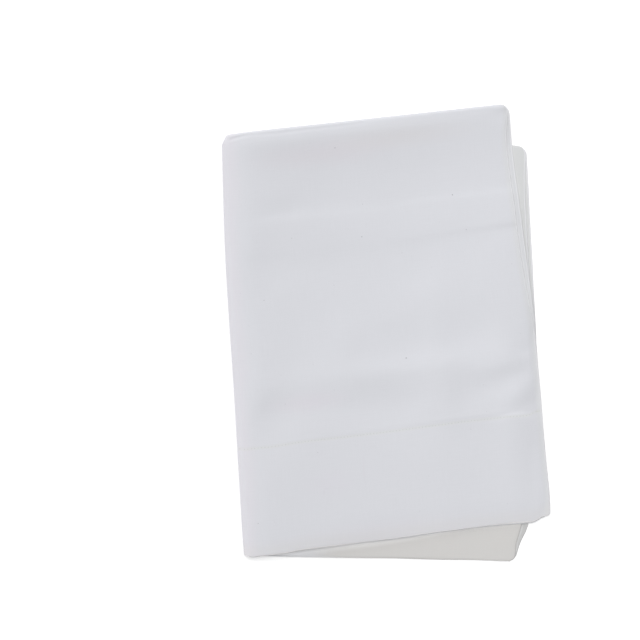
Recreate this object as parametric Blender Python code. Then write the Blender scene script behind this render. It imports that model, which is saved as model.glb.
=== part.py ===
"""A plain white cotton pillowcase, folded in half across and then in half lengthwise.

The bag is drawn flat as one closed skin: up the inside from the closed end to the opening,
round the hem's edge, and back down the outside. Every point then goes through the two folds
in the order in which they are made, and is laid out on the surface that the case lies on:

    fold_across       the closed half goes under the hem half
    fold_lengthwise   the four layers go over once more, round the long left edge
    lay_out           the crease runs askew, so the two stacks fan out a little

Lengths are in metres, +Z is up, +Y runs up the long crease. The origin is at the middle of
the footprint, on the surface.
"""

import math

import bmesh
import bpy

MM = 0.001

# The cloth and the flat bag.
PLY = 1.0 * MM                  # one layer of cloth
AIR = 0.4 * MM                  # between neighbouring layers
STACK_AIR = 0.6 * MM            # between the two stacks
BAG_LENGTH = 706.0 * MM         # from the opening to the closed end
HALF_WIDTH = 250.0 * MM         # from the long crease to a side edge
HEM_DEPTH = 89.0 * MM
STITCH_GROOVE = 0.25 * MM       # how far the hem's seam is drawn in
STITCH_REACH = 2.5 * MM         # half the width of that groove

# Half thicknesses and bend radii follow from the layers.
CAVITY_HALF = AIR / 2
BAG_HALF = CAVITY_HALF + PLY
CROSS_RADIUS = BAG_HALF + AIR / 2
STACK_HALF = CROSS_RADIUS + BAG_HALF
LONG_RADIUS = STACK_HALF + STACK_AIR / 2
LONG_ARC = math.pi * LONG_RADIUS / 2    # half of the cloth in the long fold
CREASE_X = LONG_RADIUS + STACK_HALF     # centre of the long fold, from its outer face
PANEL = (BAG_LENGTH - math.pi * CROSS_RADIUS) / 2
BEND_STEPS = 6

# A round edge of cloth, as fractions of its radius: outwards, and across the thickness.
ROUND_EDGE = ((0.87, 0.5), (0.87, -0.5))

# Where the fold across ends up: its height at the long crease, and its rise to the right.
FOLD_EDGE = 353.8 * MM
FOLD_RISE = {"top": 0.0600, "low": -0.0857}

# Side edges in mm. Each row is a height up the panel, then how far each half reaches.
SIDE_COLUMNS = ("up", "top hem", "top end", "low end", "low hem")
SIDE_EDGES = (
    (0, 259.0, 258.4, 227.0, 227.0),
    (15, 259.3, 258.8, 229.2, 230.5),
    (30, 258.9, 258.6, 234.6, 238.0),
    (60, 257.9, 257.6, 240.0, 244.0),
    (100, 256.6, 256.4, 246.0, 249.0),
    (160, 254.0, 255.0, 251.5, 254.6),
    (190, 250.4, 253.2, 252.6, 255.4),
    (225, 246.2, 250.6, 253.0, 255.7),
    (270, 243.0, 247.5, 252.8, 255.9),
    (305, 240.4, 244.7, 253.0, 256.1),
    (325, 239.9, 244.0, 253.8, 256.3),
    (342, 241.8, 243.8, 255.4, 256.2),
    (353, 243.0, 243.0, 256.0, 256.0),
)

# How far the long fold bows out to the left, in mm. Each row is a height up the plan, then the
# bow, which dies away across the stack.
FOLD_BOW = (
    (-5, 0.4), (12, 1.0), (46, 1.3), (88, 1.7), (130, 2.0), (172, 2.7), (205, 3.25), (250, 3.65),
    (278, 3.3), (316, 2.45), (343, 1.75), (356, 1.6),
)
FOLD_BOW_REACH = 45.0 * MM

# The hem's edge in mm. Each row is a distance from the long crease, then a height.
HEM_COLUMNS = ("out", "top", "low")
HEM_EDGE = (
    (0, -0.7, -0.7),
    (6, -2.7, -1.5),
    (15, -2.5, -2.2),
    (31, -1.5, -3.3),
    (52, 1.2, -4.8),
    (93, 3.9, -7.6),
    (160, 9.0, -12.6),
    (218, 13.4, -17.0),
    (236, 14.6, -18.3),
    (245, 14.4, -19.0),
    (252, 18.0, -19.5),
    (262, 19.5, -20.2),
)

# Corners seen from above.
CORNER_RADIUS = {"top hem": 3.0 * MM, "top end": 4.0 * MM, "low end": 4.0 * MM, "low hem": 5.0 * MM}
FOLD_CORNER_RADIUS = 8.0 * MM

# The upper left corner steps in, where the fold across goes round the long fold.
SHOULDER = 3.3 * MM
SHOULDER_DEPTH = 9.0 * MM
SHOULDER_REACH = 40.0 * MM

# The top stack stands a little off the lower one, and eases down to its edges.
LIFT = 1.5 * MM
EASE = {"crease": 32.0 * MM, "side": 30.0 * MM, "hem": 24.0 * MM, "fold": 9.0 * MM}
LIFT_LEFT = {"crease": 0.0, "side": 0.30, "hem": 0.25, "fold": 0.15}

# Soft folds of the top stack in mm: a line from x, y to x, y, its height and half its width.
SOFT_FOLDS = (
    ("pressed ridge", 0, 277, 258, 296, 0.7, 9),
    ("pressed valley", 0, 247, 258, 267, -0.5, 9),
    ("upper hollow", 90, 186, 230, 192, -0.5, 16),
    ("middle swell", 80, 157, 270, 154, 0.9, 13),
    ("long hollow", -20, 122, 270, 141, -0.8, 13),
    ("right swell", 185, 118, 280, 130, 0.5, 12),
)

# Loops of the mesh in mm: across the panel from the long crease, and up from the hem. The
# last row of a list is where the fold across begins.
TOP_COLUMNS = (14, 30, 52, 93, 135, 175, 212, 232, 241, 246.5, 250)
LOW_COLUMNS = (25, 60, 105, 150, 195, 225, 240, 246.5, 250)
END_ROWS = (0, 4, 12, 40, 66, 89, 104, 118, 131, 144, 157, 171, 187, 208, 228, 247, 257, 267,
            277, 287, 305, 330, 342, 347, 351)
HEM_ROWS = END_ROWS[:5] + (86.5, 89, 91.5) + END_ROWS[6:]
LINING_ROWS = (0, 40, 89, 118, 131, 144, 157, 187, 228, 257, 277, 305, 342, 347, 351)

CLOTH_COLOUR = (0.70, 0.71, 0.74, 1.0)
CLOTH_ROUGHNESS = 0.85


def smooth(t):
    """Ease from 0 to 1 as t does."""
    t = min(max(t, 0.0), 1.0)
    return t * t * (3.0 - 2.0 * t)


def read_table(table, column, at):
    """A smooth curve through one column of a table in mm, read at a place in its first column."""
    at /= MM
    last = len(table) - 2
    index = 0
    while index < last and at > table[index + 1][0]:
        index += 1

    def slope(k):
        before = table[max(k - 1, 0)]
        after = table[min(k + 1, last + 1)]
        return (after[column] - before[column]) / (after[0] - before[0])

    start, end = table[index], table[index + 1]
    span = end[0] - start[0]
    t = min(max((at - start[0]) / span, 0.0), 1.0)
    bow = t * (1.0 - t) * span * ((1.0 - t) * slope(index) - t * slope(index + 1))
    return (start[column] + (end[column] - start[column]) * smooth(t) + bow) * MM


def bend(travel, radius, offset):
    """Round a half turn of a given radius: how far out and how far off its centre line a layer is."""
    angle = travel / radius
    return (radius + offset) * math.sin(angle), (radius + offset) * math.cos(angle)


def fold_across(along, offset):
    """The closed half goes under the hem half. Gives the height up the panel and in the stack."""
    past = along - PANEL
    turn = math.pi * CROSS_RADIUS
    if past < 0.0:
        return along, CROSS_RADIUS + offset
    if past < turn:
        reach, height = bend(past, CROSS_RADIUS, offset)
        return PANEL + reach, height
    return PANEL - (past - turn), -(CROSS_RADIUS + offset)


def fold_lengthwise(across, offset, reach):
    """The long fold, over to the left. Gives the distance from its outer face, and the height."""
    side = math.copysign(1.0, across)
    distance = abs(across)
    if distance < LONG_ARC:
        height, inwards = bend(across, LONG_RADIUS, offset)
        return CREASE_X - inwards, CREASE_X + height
    share = (distance - LONG_ARC) / (HALF_WIDTH - LONG_ARC)
    out = CREASE_X + share * (reach - BAG_HALF - CREASE_X)
    return out, CREASE_X + side * (LONG_RADIUS + offset)


def round_corner(inset_x, inset_y, radius):
    """Insets from a square corner become insets from a round one."""
    u = 1.0 - inset_x / radius
    v = 1.0 - inset_y / radius
    if u <= 0.0 or v <= 0.0:
        return inset_x, inset_y
    u = min(u, 1.0)
    v = min(v, 1.0)
    round_u = u * math.sqrt(1.0 - v * v / 2.0)
    round_v = v * math.sqrt(1.0 - u * u / 2.0)
    return radius * (1.0 - round_u), radius * (1.0 - round_v)


def lift(x, up, y):
    """How far the top stack stands off the lower one."""
    edges = {
        "crease": x,
        "side": read_table(SIDE_EDGES, 1, up) - x,
        "hem": up,
        "fold": PANEL + STACK_HALF - up,
    }
    height = LIFT
    for edge, distance in edges.items():
        left = LIFT_LEFT[edge]
        height *= left + (1.0 - left) * smooth(distance / EASE[edge])
    inside = smooth(x / EASE["crease"]) * smooth((edges["hem"] + 8.0 * MM) / EASE["hem"])
    for _, x0, y0, x1, y1, rise, width in SOFT_FOLDS:
        run = (x / MM - x0) / (x1 - x0)
        if run <= 0.0 or run >= 1.0:
            continue
        ends = smooth(4.0 * run) * smooth(4.0 * (1.0 - run)) if x0 > 0 else 1.0
        away = (y / MM - (y0 + (y1 - y0) * run)) / width
        height += rise * MM * ends * inside * math.exp(-away * away)
    return max(height, 0.0)


def lay_out(across, along, offset):
    """Where a point of the flat bag lies once the case is folded."""
    up, stack_offset = fold_across(along, offset)
    stack = "top" if across > 0.0 else "low"
    half = "hem" if stack_offset > 0.0 else "end"
    name = stack + " " + half
    reach = read_table(SIDE_EDGES, SIDE_COLUMNS.index(name), up)
    distance = abs(across)
    cap = max(distance - HALF_WIDTH, 0.0)
    x, z = fold_lengthwise(math.copysign(distance - cap, across), stack_offset, reach)

    # round the corners at the fold across and at the opening
    side_inset = reach - x - cap
    fold_inset = PANEL + STACK_HALF - up
    side_inset, fold_inset = round_corner(side_inset, fold_inset, FOLD_CORNER_RADIUS)
    up = PANEL + STACK_HALF - fold_inset
    side_inset, hem_inset = round_corner(side_inset, up, CORNER_RADIUS[name])
    if up < CORNER_RADIUS[name]:
        up = hem_inset
    if distance > LONG_ARC:
        x = reach - side_inset

    # the skewed panel
    out = x if distance > LONG_ARC else distance * CREASE_X / LONG_ARC
    hem = read_table(HEM_EDGE, HEM_COLUMNS.index(stack), out)
    fold = FOLD_EDGE + FOLD_RISE[stack] * out - STACK_HALF
    share = min(max(up / PANEL, 0.0), 1.0)
    y = hem + (fold - hem) * share + (up - share * PANEL)

    if stack == "top":
        turn = 0.5 + 0.5 * math.sin(min(across / LONG_RADIUS, math.pi / 2))
        z += turn * lift(out, up, y)
    near_corner = smooth((up - PANEL - STACK_HALF + SHOULDER_DEPTH) / SHOULDER_DEPTH)
    x += SHOULDER * near_corner * smooth(1.0 - x / SHOULDER_REACH)
    x -= read_table(FOLD_BOW, 1, y) * smooth(1.0 - x / FOLD_BOW_REACH)
    return x, y, z


def section(columns):
    """One loop round the bag: (across, share of the half thickness outwards, and across it)."""
    right, left = columns[-1], columns[0]
    loop = [(across, 0.0, 1.0) for across in columns]
    loop += [(right, out, side) for out, side in ROUND_EDGE]
    loop += [(across, 0.0, -1.0) for across in reversed(columns)]
    loop += [(left, -out, -side) for out, side in ROUND_EDGE]
    return loop


def bend_columns():
    """The loops' places across, from the low side edge through the long fold to the top one."""
    low = [-across * MM for across in reversed(LOW_COLUMNS)]
    turn = [LONG_ARC * (2.0 * step / BEND_STEPS - 1.0) for step in range(BEND_STEPS + 1)]
    return low + turn + [across * MM for across in TOP_COLUMNS]


def both_halves(hem_rows, end_rows):
    """The loops' places along the bag: up the hem half, round the fold, and down the closed half."""
    hem_half = [row * MM for row in hem_rows[:-1]]
    turn = math.pi * CROSS_RADIUS
    fold = [PANEL + turn * step / BEND_STEPS for step in range(BEND_STEPS + 1)]
    end_half = [BAG_LENGTH - row * MM for row in reversed(end_rows[:-1])]
    return hem_half + fold + end_half


def groove(along):
    """How far the seam of the hem draws the outer skin in."""
    away = abs(along - HEM_DEPTH) / STITCH_REACH
    return STITCH_GROOVE * smooth(1.0 - away)


def stations():
    """Each loop's place along the bag and its half thickness, from the inside out."""
    lining = [(along, CAVITY_HALF) for along in reversed(both_halves(LINING_ROWS, LINING_ROWS))]
    lining[0] = (BAG_LENGTH - PLY, CAVITY_HALF)
    middle = CAVITY_HALF + PLY / 2
    lip = [(-out * PLY / 2, middle - side * PLY / 2) for out, side in ROUND_EDGE]
    outside = [(along, BAG_HALF - groove(along)) for along in both_halves(HEM_ROWS, END_ROWS)]
    end = (BAG_LENGTH + ROUND_EDGE[0][0] * BAG_HALF, ROUND_EDGE[0][1] * BAG_HALF)
    return lining, lip, outside + [end]


def flat_bag(columns):
    """The bag as one closed skin, with each vertex at (across, along, offset from its middle)."""
    loop = section(columns)
    lining, lip, outside = stations()
    bm = bmesh.new()
    ring = bmesh.ops.create_circle(bm, segments=len(loop), radius=HALF_WIDTH)["verts"]
    first_ring = list(ring)
    for step, (along, half) in enumerate(lining + lip + outside):
        if step > 0:
            edges = [bm.edges.get((ring[i - 1], ring[i])) for i in range(len(ring))]
            made = bmesh.ops.extrude_edge_only(bm, edges=edges)["geom"]
            fresh = {vert for vert in made if isinstance(vert, bmesh.types.BMVert)}
            ring = [next(edge.other_vert(vert) for edge in vert.link_edges
                         if edge.other_vert(vert) in fresh) for vert in ring]
        for vert, (across, out, side) in zip(ring, loop):
            vert.co = (across + out * half, along, side * half)
    for end_ring in (first_ring, ring):
        close_end(bm, end_ring, len(columns))
    bmesh.ops.recalc_face_normals(bm, faces=bm.faces)
    return bm


def close_end(bm, ring, count):
    """A strip of faces between the front and the back of a loop."""
    front = ring[:count]
    back = ring[count + len(ROUND_EDGE):2 * count + len(ROUND_EDGE)][::-1]
    for i in range(count - 1):
        bm.faces.new((front[i], front[i + 1], back[i + 1], back[i]))
    right_cap = ring[count:count + len(ROUND_EDGE)]
    left_cap = ring[-len(ROUND_EDGE):]
    bm.faces.new([front[-1], *right_cap, back[-1]])
    bm.faces.new([back[0], *left_cap, front[0]])


def split_faces(bm):
    """Cut every face along the same diagonal of the folded panel, so the layers stay parallel."""
    place = {}
    for vert in bm.verts:
        across, along, offset = vert.co
        up, _ = fold_across(along, 0.0)
        place[vert] = abs(across) + up
    for face in list(bm.faces):
        low = min(face.verts, key=lambda vert: place[vert])
        high = max(face.verts, key=lambda vert: place[vert])
        corners = list(face.verts)
        if (corners.index(low) - corners.index(high)) % 4 != 2:
            low, high = corners[0], corners[2]
        bmesh.utils.face_split(face, low, high)


def centre_on_footprint(bm):
    """Put the origin at the middle of the footprint, on the surface."""
    xs = [vert.co.x for vert in bm.verts]
    ys = [vert.co.y for vert in bm.verts]
    lowest = min(vert.co.z for vert in bm.verts)
    middle = ((min(xs) + max(xs)) / 2, (min(ys) + max(ys)) / 2, lowest)
    bmesh.ops.translate(bm, verts=bm.verts, vec=[-value for value in middle])


def cotton():
    """Plain white cotton."""
    material = bpy.data.materials.new("white_cotton")
    material.use_nodes = True
    shader = material.node_tree.nodes["Principled BSDF"]
    shader.inputs["Base Color"].default_value = CLOTH_COLOUR
    shader.inputs["Roughness"].default_value = CLOTH_ROUGHNESS
    shader.inputs["Metallic"].default_value = 0.0
    return material


def make_pillowcase():
    """The folded case, in one piece of cloth."""
    bm = flat_bag(bend_columns())
    split_faces(bm)
    for vert in bm.verts:
        vert.co = lay_out(*vert.co)
    centre_on_footprint(bm)
    mesh = bpy.data.meshes.new("pillowcase")
    bm.to_mesh(mesh)
    bm.free()
    mesh.shade_smooth()
    mesh.set_sharp_from_angle(angle=math.radians(50.0))
    mesh.materials.append(cotton())
    case = bpy.data.objects.new("pillowcase", mesh)
    bpy.context.scene.collection.objects.link(case)
    return case


def main():
    for item in list(bpy.data.objects):
        bpy.data.objects.remove(item, do_unlink=True)
    make_pillowcase()


main()
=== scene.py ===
"""Dresses the folded pillowcase: thin white cotton in its folds, the hem's stitches and a stage.

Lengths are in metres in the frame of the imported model, +Z up. The cloth is drawn flat, as the
opened bag, and then folded. A place on the flat bag is (across, along, offset): across from the
long crease, along from the opening, and offset from the middle of the bag. A place on the
folded case is in plan coordinates, (x, y, height): x from the outer face of the long fold, y up
from the hem at that fold, and height above the surface.
"""

import math

import bmesh
import bpy
from bpy.props import FloatProperty, FloatVectorProperty, PointerProperty
from mathutils import Matrix, Vector, noise


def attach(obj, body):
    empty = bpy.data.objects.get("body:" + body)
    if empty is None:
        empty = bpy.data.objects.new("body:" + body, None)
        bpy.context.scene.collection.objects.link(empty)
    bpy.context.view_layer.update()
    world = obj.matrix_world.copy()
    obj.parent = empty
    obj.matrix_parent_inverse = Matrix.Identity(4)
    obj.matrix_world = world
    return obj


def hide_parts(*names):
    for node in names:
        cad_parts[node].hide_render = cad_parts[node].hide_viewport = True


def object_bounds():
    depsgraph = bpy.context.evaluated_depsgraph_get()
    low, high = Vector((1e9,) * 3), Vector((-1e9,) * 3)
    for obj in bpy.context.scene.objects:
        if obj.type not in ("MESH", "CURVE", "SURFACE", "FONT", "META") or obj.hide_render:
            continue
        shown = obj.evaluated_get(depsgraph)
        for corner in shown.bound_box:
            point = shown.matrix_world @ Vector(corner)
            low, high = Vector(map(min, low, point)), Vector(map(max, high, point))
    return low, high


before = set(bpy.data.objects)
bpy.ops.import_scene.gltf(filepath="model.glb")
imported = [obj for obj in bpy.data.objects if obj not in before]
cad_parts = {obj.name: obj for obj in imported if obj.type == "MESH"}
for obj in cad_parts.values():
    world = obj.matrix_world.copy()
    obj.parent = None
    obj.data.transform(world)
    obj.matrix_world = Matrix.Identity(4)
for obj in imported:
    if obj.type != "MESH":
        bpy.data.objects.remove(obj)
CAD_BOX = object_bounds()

bl_info = {
    "name": "Folded Pillowcase",
    "version": (1, 0, 0),
    "blender": (4, 5, 0),
    "location": "3D View > Sidebar > Pillowcase",
    "description": "Makes a folded cotton pillowcase with its hem stitches, and a pale stage",
    "category": "Object",
}

MM = 0.001
CASE_NODE = "pillowcase"
FLAT_MAP = "flat_cloth"         # the UV map that holds the flat bag, in metres

# The flat bag.
BAG_LENGTH = 706.0 * MM
HALF_WIDTH = 250.0 * MM
HEM_DEPTH = 89.0 * MM

# The layers, from the middle of one to the middle of the next.
LAYER_STEP = 1.4 * MM
STACK_STEP = 1.6 * MM
CROSS_RADIUS = LAYER_STEP
LONG_RADIUS = 1.5 * LAYER_STEP + STACK_STEP / 2
LONG_ARC = math.pi * LONG_RADIUS / 2
PANEL = (BAG_LENGTH - math.pi * CROSS_RADIUS) / 2

# Where the plan's corner lies in the frame: the case's lowest corner reaches below the hem, and
# its long fold bows out to the left.
PLAN_LEFT = -3.646 * MM
PLAN_LOWEST = -18.386 * MM
PLAN_CORNER = Vector((CAD_BOX[0].x - PLAN_LEFT, CAD_BOX[0].y - PLAN_LOWEST, CAD_BOX[0].z))

# A round edge of cloth, as fractions of its radius: outwards, and across the thickness.
ROUND_EDGE = ((0.87, 0.5), (0.87, -0.5))

# Where the fold across ends up: its height at the long crease, and its rise to the right.
FOLD_EDGE = 353.8 * MM
FOLD_RISE = {"top": 0.0600, "low": -0.0857}
FOLD_CORNER_RADIUS = 8.0 * MM
SHOULDER = 3.3 * MM
SHOULDER_DEPTH = 9.0 * MM
SHOULDER_REACH = 40.0 * MM

# Side edges in mm. Each row is a height up the panel, then how far each half reaches.
SIDE_COLUMNS = ("up", "top hem", "top end", "low end", "low hem")
SIDE_EDGES = (
    (0, 259.0, 258.4, 227.0, 227.0), (15, 259.3, 258.8, 229.2, 232.5),
    (30, 258.9, 258.6, 234.6, 240.0), (60, 257.9, 257.6, 240.0, 244.0),
    (100, 256.6, 256.4, 246.0, 249.0), (160, 254.0, 255.0, 251.5, 254.6),
    (190, 250.4, 253.2, 252.6, 255.4), (225, 246.2, 250.6, 253.0, 255.7),
    (270, 243.0, 247.5, 252.8, 255.9), (305, 240.4, 244.7, 253.0, 256.1),
    (325, 239.9, 244.0, 253.8, 256.3), (342, 241.8, 243.8, 255.4, 256.2),
    (353, 243.0, 243.0, 256.0, 256.0),
)
CORNER_RADIUS = {"top hem": 2.0 * MM, "top end": 4.0 * MM, "low end": 4.0 * MM, "low hem": 5.0 * MM}

# How far the long fold bows out to the left, in mm. Each row is a height up the plan, then the
# bow, which dies away across the stack.
FOLD_BOW = (
    (-5, 0.4), (12, 1.0), (46, 1.3), (88, 1.7), (130, 2.0), (172, 2.7), (205, 3.25), (250, 3.65),
    (278, 3.3), (316, 2.45), (343, 1.75), (356, 1.6),
)
FOLD_BOW_REACH = 45.0 * MM

# The hem's edge in mm. Each row is a distance from the long crease, then a height.
HEM_COLUMNS = ("out", "top", "low")
HEM_EDGE = (
    (0, -0.7, -0.7), (6, -2.8, -1.5), (15, -2.4, -2.2), (31, -1.6, -3.3), (52, 1.1, -4.8),
    (93, 3.8, -7.7), (131, 6.6, -10.5), (165, 9.6, -13.1), (190, 11.8, -15.0), (216, 13.2, -17.0),
    (228, 13.9, -17.8), (240, 13.9, -18.7), (246, 14.6, -19.1), (251, 17.4, -19.4),
    (255, 18.3, -19.7), (262, 18.9, -20.2),
)

# The seven gaps between the eight layers, from the surface up. Each row has how much wider the
# gap is all over, in mm, how much more to the right, its share of the swell by the crease, by
# the fold across and at the loose edges, and the least it can widen by, in mm.
GAPS = {
    "lower hem half": (-0.45, -0.35, 0.04, 0.03, 0.14, -1.2),
    "lower fold": (-0.75, -0.15, 0.08, 0.06, 0.14, -1.2),
    "lower closed half": (-0.75, -0.2, 0.04, 0.03, 0.14, -1.2),
    "between the stacks": (-0.3, -0.35, 0.50, 0.20, 0.45, -1.3),
    "upper closed half": (-0.7, -0.4, 0.10, 0.14, 0.12, -1.2),
    "upper fold": (-0.65, -0.4, 0.14, 0.36, 0.16, -1.2),
    "upper hem half": (-0.45, -0.45, 0.10, 0.18, 0.24, -1.15),
}
BETWEEN_STACKS = list(GAPS).index("between the stacks")
LEAST_EASE = 0.25               # the share of its least over which a gap eases to a stop
RIGHT_REACH = 180.0 * MM        # how far across the layers close up to the right
UNEVEN = 0.12 * MM              # how much the gaps come and go
UNEVEN_SIZE = 62.0 * MM

# The stack swells by the long crease and by the fold across, and thins to its loose edges.
CREASE_START = 2.0 * MM
CREASE_REACH = 18.0 * MM
CREASE_RISE = 2.34 * MM
CREASE_BOW = 2.9                # how much faster it rises at its start
CREASE_FADE = 150.0 * MM        # how far that rise carries across the case
CREASE_ROLL = 1.25 * MM
CREASE_FALL = 31.3 * MM
FLAT_START = 1.5 * CREASE_REACH     # where the flat of the stack begins
FOLD_CREST = 10.1 * MM          # from the fold's edge to the top of its roll
FOLD_REACH = 18.9 * MM
FOLD_SHOULDER = 0.26            # the share of the roll that its outer side loses
FOLD_DECAY = 1.6                # how sharply it falls away past its top
FOLD_ROLL = ((0, 0.4), (40, 4.0), (90, 3.9), (150, 3.25), (210, 1.4), (262, 0.0))
HEM_REACH = 21.7 * MM
HEM_DROP = ((0, 0.0), (130, 1.5), (262, 1.4))
HEM_EASE = 1.0 * MM             # a slower drop, over a longer way
HEM_EASE_REACH = 150.0 * MM
SIDE_REACH = 21.4 * MM
SIDE_DROP = ((0, 2.0), (110, 2.0), (160, 1.2), (205, 0.6), (370, 0.5))
LIP_REACH = 7.0 * MM            # the last of the side edge, which bends down further
LIP_DROP = 1.4 * MM
LIP_BEND = 1.3                  # how sharply it bends

# How far the layers shift past each other, at the hem and at the sides.
HEM_WANDER = 0.7 * MM
SIDE_WANDER = 0.4 * MM
WANDER_REACH = 3.0 * HEM_REACH
WANDER_SIZE = 0.7 * UNEVEN_SIZE
WANDER_CHANGE = 0.9             # how fast it changes from layer to layer
GAP_SEED, HEM_SEED, SIDE_SEED = 3.7, 5.1, 9.3   # the places in the noise that each one reads

# Soft folds of the top stack in mm. Each row is a place across, the line's height up the plan,
# its rise, and its reach above and below the line.
SOFT_FOLDS = {
    "pressed ridge": (
        (0, 277.8, 0.27, 22.7, 6.7), (20, 281.3, -0.12, 15.8, 6.3), (46, 285.7, -0.47, 11.1, 6.5),
        (95, 293.1, -0.48, 35.8, 10.8), (130, 288.1, -0.17, 10.6, 7.4),
        (163, 293.7, -0.2, 9.3, 5.3), (200, 296.7, -0.22, 11, 5.8),
        (240, 298.4, -0.32, 11.7, 5.9), (262, 296.2, -0.37, 6.2, 2.5),
    ),
    "pressed valley": (
        (0, 237, -0.58, 13.6, 42), (20, 237.7, -0.7, 17.3, 31.4), (60, 239.3, -0.81, 22.9, 16.2),
        (95, 240.6, -0.76, 19.2, 29.1), (128, 243.1, -0.56, 13.8, 42), (195, 256, -0.28, 7, 25.5),
        (229, 261.3, -0.25, 3.6, 10.4), (262, 265.1, -0.35, 2.7, 2.5),
    ),
    "upper hollow": (
        (70, 298.8, -0.11, 38.2, 42), (130, 312.1, -0.71, 30.7, 32.2),
        (200, 318.7, -1.21, 31.3, 28.4), (262, 323.1, -1.4, 42, 33.4),
    ),
    "middle plateau": (
        (40, 210.9, -0.07, 6.9, 42), (98, 203.8, -0.53, 42, 15.1),
        (110, 195.5, -0.13, 36.6, 11.2), (135, 193.6, 0.64, 42, 13.8),
        (160, 204, 1.36, 20.7, 37.6), (180, 205.6, 1.39, 29.9, 42),
        (205, 206.5, 0.99, 32.6, 27.1), (235, 215.8, 0.6, 42, 42), (262, 219.6, -0.22, 10.2, 6.2),
    ),
    "long crest": (
        (0, 136.8, 0.97, 25.7, 41.8), (30, 137.8, 0.8, 17.7, 15), (56, 135.8, 0.79, 15.8, 42),
        (98, 142.9, 0.96, 12.9, 17.8), (128, 144.9, 1.34, 12.1, 18.9),
        (155, 143.8, 1.8, 15.6, 41.7), (172, 145.1, 2.12, 17.7, 39.6),
        (182, 149.3, 2.1, 13.7, 32.5), (190, 147.4, 1.89, 16.4, 22), (223, 149, 1.43, 21.4, 10.4),
        (244, 150.6, 0.79, 4.9, 11.8), (262, 152.7, -0.06, 16.6, 14.8),
    ),
    "long trough": (
        (0, 102.3, -1.03, 10.7, 42), (30, 113.2, -1.07, 19.1, 29.1),
        (56, 123.5, -1.03, 20.9, 19.4), (98, 119.2, -0.96, 25, 15.2),
        (128, 121.1, -0.86, 20.4, 19), (155, 124.1, -0.62, 17.1, 12.7),
        (172, 123, -0.34, 18.2, 11.3), (182, 118.4, -0.32, 21.5, 11.8),
        (190, 120.7, -0.41, 20.2, 24), (222, 130.7, -0.7, 17.9, 13.6),
        (244, 144.3, -1.02, 20.6, 10.6), (262, 152.4, -1.45, 42, 9.1),
    ),
    "right crest": (
        (165, 104, 0.02, 14, 14), (195, 108.1, 0.96, 23.9, 16.1), (215, 114.2, 1.56, 33, 26.6),
        (230, 109.1, 1.95, 42, 42), (246, 120.6, 1.15, 14.5, 42), (262, 128.9, 0.35, 2.5, 16.8),
    ),
    "right trough": (
        (205, 108.6, -0.07, 5.1, 16.5), (226, 107.2, -0.46, 9.3, 3.4),
        (242, 109.6, -1.13, 11.2, 5.6), (262, 119.6, -1.76, 30.4, 23.8),
    ),
}

# Soft upright folds: a height up the plan, the line's place across, its rise, and its reach to
# the right and to the left.
UPRIGHT_FOLDS = {
    "upright left": (
        (75, 95, -0.01, 14, 14), (95, 94.9, 0.11, 7.6, 21.8), (115, 95.4, 0.29, 12.9, 16.3),
        (135, 95.9, 0.29, 14.5, 11.1), (155, 92.4, 0.31, 7.4, 9.3), (180, 95.8, 0.38, 12.1, 9.3),
        (210, 96.4, 0.28, 12.4, 12.3), (240, 96.4, 0.03, 8.5, 8.2),
    ),
    "upright right": (
        (-14, 173, 0, 28, 28), (5, 173, 0.34, 26, 29.4), (40, 171.9, 0.61, 30, 15.1),
        (75, 176, 1.04, 28.6, 30), (100, 178.4, 0.95, 17.2, 24.7), (120, 172.6, 0.79, 23, 14.3),
        (140, 174.3, 0.57, 14.7, 14.4), (160, 170.7, 0.56, 12.2, 12.2),
        (190, 170.6, 0.49, 12.4, 9.7), (220, 170.2, 0.41, 17.3, 22.2),
        (250, 166.4, 0.36, 20.5, 30), (285, 172.1, 0.04, 30, 18.4),
    ),
    "upright far left": (
        (95, 45.9, 0.16, 25.9, 10.6), (115, 44.3, -0.18, 9.3, 24.6), (135, 40.7, -0.57, 19.6, 30),
        (165, 51.8, -1.02, 24.2, 23.4), (200, 48.1, -0.95, 30, 30),
        (250, 33.9, -0.71, 22.5, 15.7), (300, 47, -0.02, 30, 30),
    ),
}
FADE = 8.0                      # in mm, how a fold starts and ends
FOLD_TAIL = 3.0                 # how many times its reach a fold is followed

# Fine relief of the top layer alone, in the same columns. The marks at the upper right corner
# are in mm: x, y, rise, and half the width and height.
FINE_FOLDS = {
    "seam pucker": (
        (0, 86, 0.02, 2, 2), (100, 98, 0.04, 2, 2), (170, 103.5, 0.1, 2.2, 1.8),
        (262, 110.5, 0.14, 2.4, 1.6),
    ),
    "fold groove": (
        (0, 347.5, 0.0, 1.2, 1.0), (6, 349, -0.55, 1.3, 1.0), (17, 351.4, -0.6, 1.3, 1.0),
        (24, 352, -0.25, 1.2, 1.0), (44, 352, -0.3, 1.4, 1.1), (74, 354.3, -0.28, 1.3, 1.1),
        (104, 356.2, -0.25, 1.2, 1.0), (136, 360.0, -0.15, 1.1, 1.0), (160, 362.5, 0.0, 1.0, 1.0),
    ),
    "pressed band, upper edge": (
        (12, 275.8, 0.08, 4, 17), (27, 276.8, 0.13, 4, 17), (61, 278.4, 0.12, 4, 17),
        (95, 280, 0.12, 4, 17), (129, 281.7, 0.13, 3.8, 17), (163, 285.9, 0.12, 3.8, 17),
        (197, 289.2, 0.14, 3.6, 17), (231, 291.7, 0.2, 3.6, 17), (256, 293.4, 0.2, 3.6, 17),
    ),
    "pressed band, lower edge": (
        (6, 249.8, 0.08, 17, 4), (26, 251.1, 0.12, 17, 4), (60, 253.2, 0.08, 17, 4),
        (94, 254.6, 0.05, 17, 4), (128, 258.5, 0.07, 17, 3.8), (161, 260.1, 0.12, 17, 3.8),
        (195, 264.2, 0.13, 17, 3.6), (229, 267.4, 0.28, 17, 3.4), (256, 269.6, 0.28, 17, 3.4),
    ),
}
CORNER_MARKS = ((235.0, 357.5, -0.5, 4.5, 4.5), (237.5, 364.8, 0.35, 4.5, 2.6))

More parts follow.
